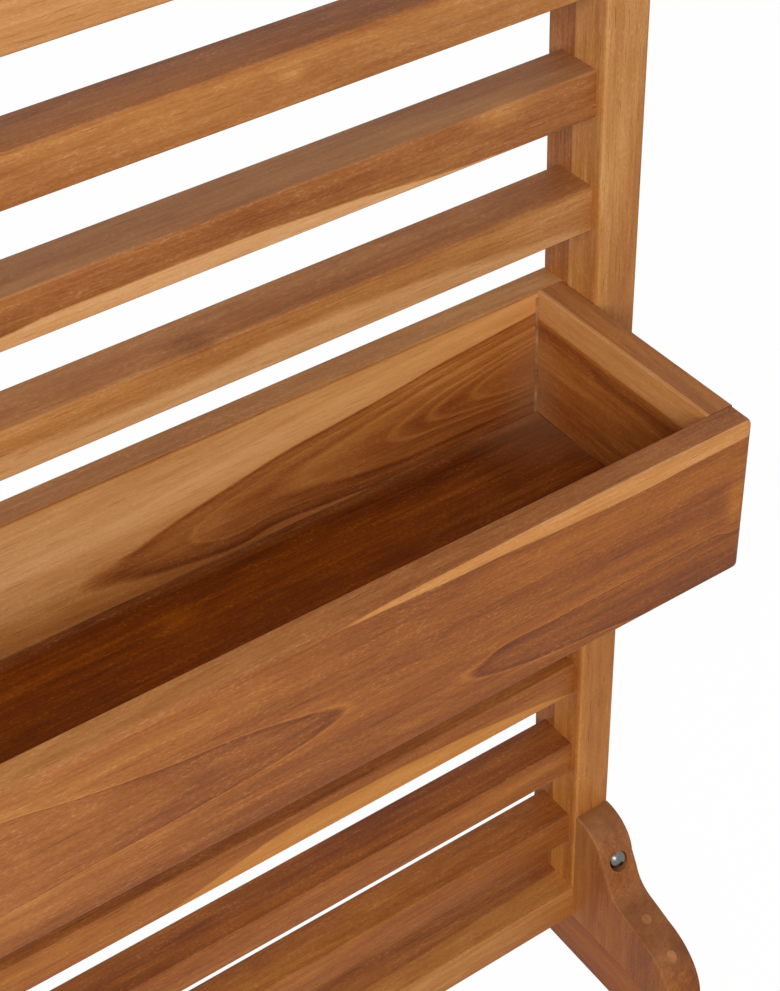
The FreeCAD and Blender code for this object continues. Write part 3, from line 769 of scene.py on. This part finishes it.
class TRELLIS_OT_slats(bpy.types.Operator):
    """The slats of both fields, swept from one tree and sanded, each in its own teak"""

    bl_idname = "trellis.slats"
    bl_label = "Slats"

    def execute(self, context):
        sizes = context.scene.trellis_slats
        tree = slat_tree()
        for node in UPPER_SLATS + LOWER_SLATS:
            low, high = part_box(node)
            grow(node + "_sanded", tree, {
                "Length": sizes.length, "Height": sizes.height, "Depth": sizes.depth, "Arris": sizes.arris,
                "Tenon": sizes.tenon, "Shoulder": sizes.shoulder, "Sanding": sizes.sanding,
                "Centre": (low + high) / 2, "Seed": float(BOARDS[node]["seed"]),
                "Finish": teak(node, **BOARDS[node]),
            }, node)
        return {"FINISHED"}


def glue_tree():
    """A bead of wiped glue up each inner corner of the trough."""
    tree, given, result = new_group("glue_lines", "GeometryNodeTree", dict(
        Length=0.77, Reach=0.205, Rise=0.12, Width=0.004, Centre=ORIGIN, Finish=None,
    ), dict(Glue="Geometry"))
    edge = add(tree, "CurvePrimitiveQuadrilateral", Width=given.length, Height=given.reach)
    corners = add(tree, "CurveToPoints", mode="EVALUATED", Curve=edge)
    top = add(tree, "CombineXYZ", 0.0, 0.0, given.rise)
    upright = add(tree, "CurvePrimitiveLine", End=top)
    half = add(tree, "Math MULTIPLY", given.width, 0.5)
    section = add(tree, "CurvePrimitiveCircle", Resolution=BEAD_SIDES, Radius=half)
    bead = add(tree, "CurveToMesh", Curve=upright, Profile_Curve=section, Fill_Caps=True)
    beads = add(tree, "InstanceOnPoints", Points=corners, Instance=bead)
    return set_down(tree, given, result, beads)


def bead_tree():
    """A bead that follows the four edges of the trough's floor."""
    tree, given, result = new_group("floor_bead", "GeometryNodeTree", dict(
        Length=0.77, Reach=0.205, Width=0.002, Centre=ORIGIN, Finish=None,
    ), dict(Bead="Geometry"))
    edge = add(tree, "CurvePrimitiveQuadrilateral", Width=given.length, Height=given.reach)
    half = add(tree, "Math MULTIPLY", given.width, 0.5)
    section = add(tree, "CurvePrimitiveCircle", Resolution=BEAD_SIDES, Radius=half)
    swept = add(tree, "CurveToMesh", Curve=edge, Profile_Curve=section)
    return set_down(tree, given, result, swept)


def trough_floor():
    """The trough's floor inside its boards, as the glue trees take it."""
    front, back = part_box("planter_front_board")[1].y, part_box("planter_back_board")[0].y
    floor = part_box("planter_floor_board")[1].z
    return {"Length": 2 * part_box("planter_right_end_board")[0].x, "Reach": back - front,
            "Centre": Vector((0.0, (back + front) / 2, floor))}


def plain_material(name, colours, scale, roughness, spread, metallic=0.0, bump=0.0001, gloss=0.5):
    """A finish whose colour and roughness wander over a pattern with a real size in metres."""
    material, tree, surface = new_material(name)
    place = add(tree, "TexCoord").outputs["Object"]
    sized = add(tree, "Mapping", place, Scale=tuple(1 / size for size in scale))
    noise = add(tree, "TexNoise", sized, 1.0, 3.0, 0.6)
    shade = add(tree, "MapRange", noise, 0.35, 0.68, 0.0, 1.0)
    mixed = add(tree, "Mix", shade, *colours, data_type="RGBA")
    rough = add(tree, "Math MULTIPLY_ADD", noise, spread, roughness)
    raised = add(tree, "Bump", Strength=0.4, Distance=bump, Height=noise)
    feed(surface, Base_Color=mixed, Roughness=rough, Normal=raised, Metallic=metallic,
         Specular_IOR_Level=gloss)
    return material


class TRELLIS_OT_glue_lines(bpy.types.Operator):
    """Thin glue lines in the trough's inner corners"""

    bl_idname = "trellis.glue_lines"
    bl_label = "Glue lines"

    def execute(self, context):
        sizes = context.scene.trellis_glue
        box = trough_floor()
        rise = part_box("planter_front_board")[1].z - BELOW_RIM - box["Centre"].z
        # wood glue squeezed out and wiped: pale brown and dull, thicker here than there
        glue = plain_material(
            "wiped_wood_glue", (linear("#7E4E28"), sizes.colour), (0.02, 0.02, 0.02), 0.6, 0.2, gloss=0.15)
        grow("planter_glue_lines", glue_tree(), {**box, "Rise": rise, "Width": sizes.width, "Finish": glue},
             None)
        return {"FINISHED"}


class TRELLIS_OT_floor_bead(bpy.types.Operator):
    """A thin bead of brown glue round the trough's floor"""

    bl_idname = "trellis.floor_bead"
    bl_label = "Floor bead"

    def execute(self, context):
        # waterproof brown wood glue, wiped into the joint: dull, a little darker here and there
        glue = plain_material(
            "brown_joint_glue", (linear("#5A2E12"), linear("#80502A")), (0.05, 0.05, 0.05), 0.75, 0.2,
            gloss=0.1)
        width = context.scene.trellis_glue.width / 2
        grow("planter_floor_bead", bead_tree(), {**trough_floor(), "Width": width, "Finish": glue},
             None)
        return {"FINISHED"}


class TRELLIS_OT_plugs_and_dowels(bpy.types.Operator):
    """Side-grain teak plugs over the screws, and the beech dowels inside the planter's corners"""

    bl_idname = "trellis.plugs_and_dowels"
    bl_label = "Plugs and dowels"

    def execute(self, context):
        for node, seed in (("planter_fixing_plugs", 113), ("foot_bracket_plugs", 127)):
            dress(node, teak(
                node, laid="forward", corner=(450, 0, 0), heart=((-450, -200, 60), (450, -190, 60)),
                tone=0.04, tint="#FFEDE0", seed=seed))
        # turned beech: pale, even, finely flecked
        beech = plain_material(
            "turned_beech_dowel", (linear("#C79B6C"), linear("#DDB888")), (0.012, 0.0012, 0.0012),
            0.55, 0.2)
        dress("planter_corner_dowels", beech)
        return {"FINISHED"}


class TRELLIS_OT_hardware(bpy.types.Operator):
    """Stainless steel on the bolts, nuts, washers and screws"""

    bl_idname = "trellis.hardware"
    bl_label = "Bolts and screws"

    def execute(self, context):
        sizes = context.scene.trellis_hardware
        # turned A2 stainless steel: grey, with faint turning marks and a sharp highlight; its dark grey is
        # painted reflection of dark surroundings
        steel = plain_material(
            "turned_stainless_steel", (sizes.steel, sizes.steel_bright), (0.004, 0.0006, 0.0006),
            0.22, 0.14, metallic=1.0, bump=0.00003)
        for node in ("foot_bolts", "foot_bolt_washers", "foot_cap_nuts", "foot_bracket_screws",
                     "planter_fixing_screws"):
            dress(node, steel)
        return {"FINISHED"}


class TRELLIS_OT_studio(bpy.types.Operator):
    """A pale floor, soft light and the camera"""

    bl_idname = "trellis.studio"
    bl_label = "Studio"

    def execute(self, context):
        scene = context.scene
        sizes = scene.trellis_studio
        half = sizes.floor / 2
        under = -0.0003     # just below the feet
        corners = [(x * half, y * half, under) for x, y in ((-1, -1), (1, -1), (1, 1), (-1, 1))]
        floor = bpy.data.objects.new("studio_floor", bpy.data.meshes.new("studio_floor"))
        floor.data.from_pydata(corners, [], [(0, 1, 2, 3)])
        scene.collection.objects.link(floor)
        # the camera sees the floor almost white, and the floor keeps the shadow
        material, tree, surface = new_material("studio_floor_paint")
        tree.nodes.remove(surface)
        lit = add(tree, "BsdfDiffuse", Color=sizes.paint)
        white = add(tree, "Emission", Color=WHITE, Strength=1.0)
        veil = add(tree, "Math MULTIPLY", self.seen(tree), 0.985)
        feed(tree.nodes["Material Output"], Surface=add(tree, "MixShader", veil, lit, white))
        floor.data.materials.append(material)

        scene.world = bpy.data.worlds.new("studio_room")
        scene.world.use_nodes = True
        tree = scene.world.node_tree
        room = tree.nodes["Background"]
        feed(room, Color=WHITE, Strength=sizes.room)
        backdrop = add(tree, "Background", Color=WHITE, Strength=1.0)
        feed(tree.nodes["World Output"], Surface=add(tree, "MixShader", self.seen(tree), room, backdrop))

        # one large soft light, from the left, in front and above
        lamp = bpy.data.lights.new("front_softbox", "AREA")
        lamp.shape = "SQUARE"
        lamp.size = sizes.key_size
        lamp.energy = sizes.key
        key = bpy.data.objects.new("front_softbox", lamp)
        middle = Vector((0.1, 0.0, 0.8))
        key.location = middle + Vector((-1.75, -2.0, 1.5))
        key.rotation_euler = (middle - key.location).to_track_quat("-Z", "Y").to_euler()
        scene.collection.objects.link(key)

        # the place and turn of the eye come from the directions of the photograph's straight edges
        camera = bpy.data.cameras.new("photo_camera")
        camera.lens = sizes.lens
        camera.sensor_width = 36.0
        eye = bpy.data.objects.new("photo_camera", camera)
        eye.location = (-0.44374, -0.98382, 1.76544)
        eye.rotation_euler = tuple(math.radians(angle) for angle in (49.54032, 1.92781, -34.46411))
        scene.collection.objects.link(eye)
        scene.camera = eye
        scene.view_settings.view_transform = "Standard"
        return {"FINISHED"}

    @staticmethod
    def seen(tree):
        """1 for rays from the camera and for what metal mirrors, else 0."""
        path = add(tree, "LightPath").outputs
        either = add(tree, "Math MAXIMUM", path["Is Camera Ray"], path["Is Glossy Ray"])
        return add(tree, "Math MAXIMUM", either, path["Is Transmission Ray"])


class TRELLIS_PT_panel(bpy.types.Panel):
    """Lists the trellis's pieces"""

    bl_idname = "TRELLIS_PT_panel"
    bl_label = "Trellis"
    bl_space_type = "VIEW_3D"
    bl_region_type = "UI"
    bl_category = "Trellis"

    def draw(self, context):
        for group, place in GROUPS.items():
            for name in group.__annotations__:
                self.layout.prop(getattr(context.scene, place), name)
        for operator in OPERATORS:
            self.layout.operator(operator.bl_idname)


GROUPS = {TrellisTeak: "trellis_teak", TrellisSlats: "trellis_slats", TrellisGlue: "trellis_glue",
          TrellisHardware: "trellis_hardware", TrellisStudio: "trellis_studio"}
OPERATORS = (TRELLIS_OT_studio, TRELLIS_OT_frame_boards, TRELLIS_OT_trough_boards, TRELLIS_OT_feet,
             TRELLIS_OT_slats, TRELLIS_OT_glue_lines, TRELLIS_OT_floor_bead, TRELLIS_OT_plugs_and_dowels,
             TRELLIS_OT_hardware)


def register():
    for kind in (*GROUPS, *OPERATORS, TRELLIS_PT_panel):
        bpy.utils.register_class(kind)
    for group, name in GROUPS.items():
        setattr(bpy.types.Scene, name, PointerProperty(type=group))


def unregister():
    for name in GROUPS.values():
        delattr(bpy.types.Scene, name)
    for kind in (TRELLIS_PT_panel, *reversed(OPERATORS), *reversed(list(GROUPS))):
        bpy.utils.unregister_class(kind)


def main():
    register()
    for operator in OPERATORS:
        group, name = operator.bl_idname.split(".")
        getattr(getattr(bpy.ops, group), name)()


if __name__ == "__main__":
    main()
